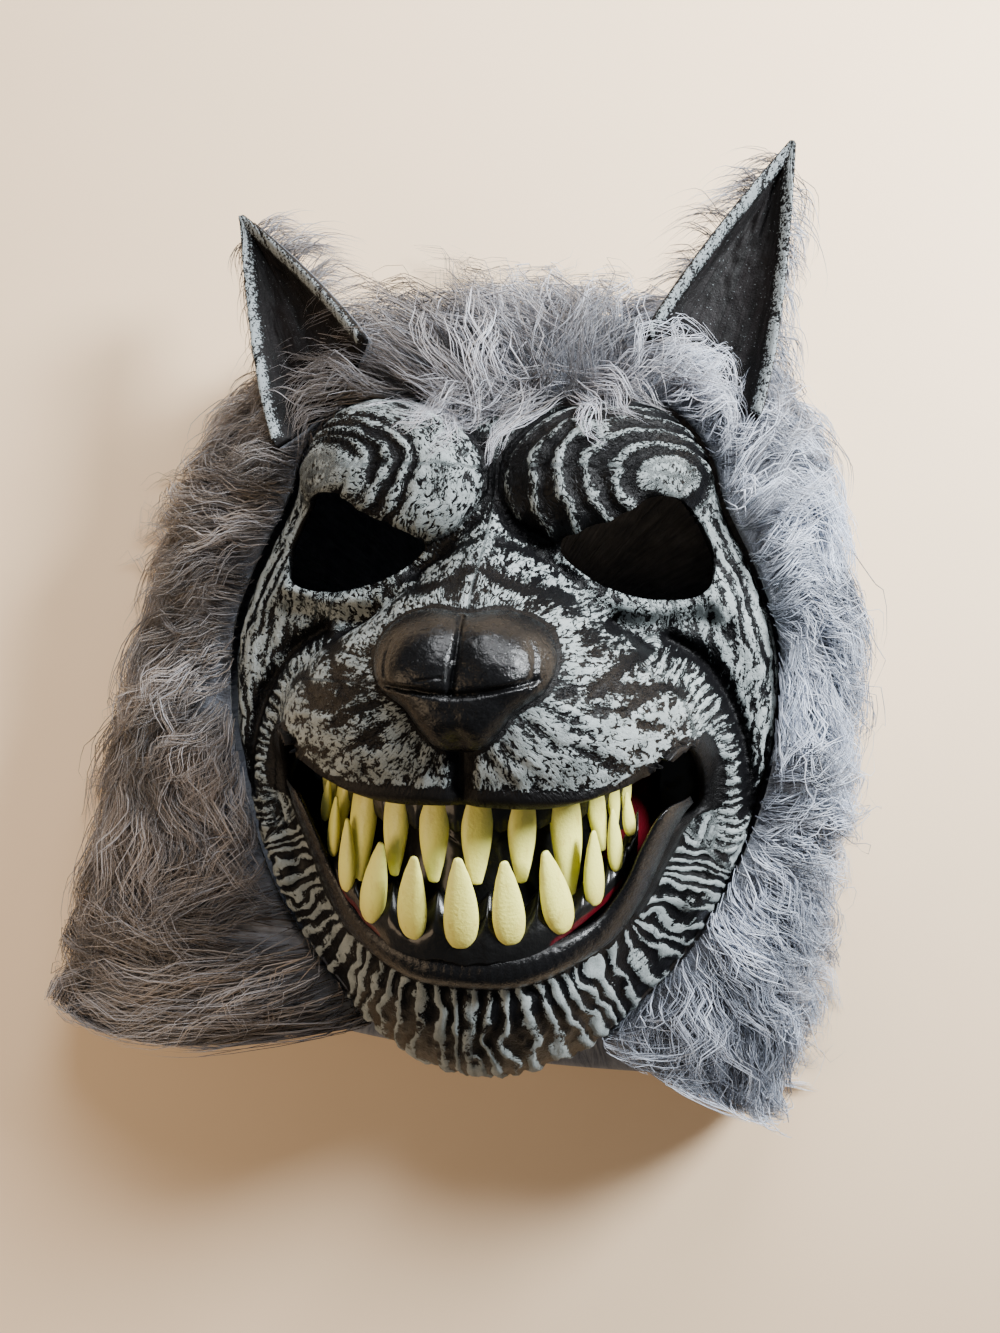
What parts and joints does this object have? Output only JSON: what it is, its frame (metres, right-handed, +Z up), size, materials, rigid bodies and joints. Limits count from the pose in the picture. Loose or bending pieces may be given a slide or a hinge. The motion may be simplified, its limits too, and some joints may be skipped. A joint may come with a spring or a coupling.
{
  "type": "werewolf mask",
  "caption": "Full-head werewolf costume mask with a moulded grey and black face, open eyes, a wide toothed mouth, moulded ears and a long-pile grey fur hood, lying on its back.",
  "frame": {"origin": "middle of the mask's box on the surface that its back panel lies on", "axes": "+Z up out of the face, +Y towards the ears, +X to the right of someone who looks down on the face"},
  "size_m": [0.3528, 0.393, 0.186],
  "materials": {
    "painted_moulding": "matte black moulding dry-brushed with pale grey",
    "gloss_black": "gloss",
    "mouth_paint": "satin",
    "gum_black": "semi-gloss",
    "tooth_cream": "satin",
    "ear_moulding": "matte black with a grey rim",
    "grey_pile": "long-pile faux fur",
    "back_cloth": "faux fur backing cloth"
  },
  "bodies": {
    "root": {"face_shell": "painted_moulding", "nose": "gloss_black", "lower_lip": "gloss_black", "mouth_lining": "mouth_paint", "upper_gum": "gum_black", "lower_gum": "gum_black", "upper_tooth_01": "tooth_cream", "upper_tooth_02": "tooth_cream", "upper_tooth_03": "tooth_cream", "upper_tooth_04": "tooth_cream", "upper_tooth_05": "tooth_cream", "upper_tooth_06": "tooth_cream", "upper_tooth_07": "tooth_cream", "upper_tooth_08": "tooth_cream", "upper_tooth_09": "tooth_cream", "upper_tooth_10": "tooth_cream", "upper_tooth_11": "tooth_cream", "upper_tooth_12": "tooth_cream", "lower_tooth_01": "tooth_cream", "lower_tooth_02": "tooth_cream", "lower_tooth_03": "tooth_cream", "lower_tooth_04": "tooth_cream", "lower_tooth_05": "tooth_cream", "lower_tooth_06": "tooth_cream", "lower_tooth_07": "tooth_cream", "lower_tooth_08": "tooth_cream", "lower_tooth_09": "tooth_cream", "lower_tooth_10": "tooth_cream", "lower_tooth_11": "tooth_cream", "left_ear": "ear_moulding", "right_ear": "ear_moulding", "left_ear_fur": "grey_pile", "right_ear_fur": "grey_pile", "fur_hood": "grey_pile", "back_panel": "back_cloth"}
  },
  "joints": []
}
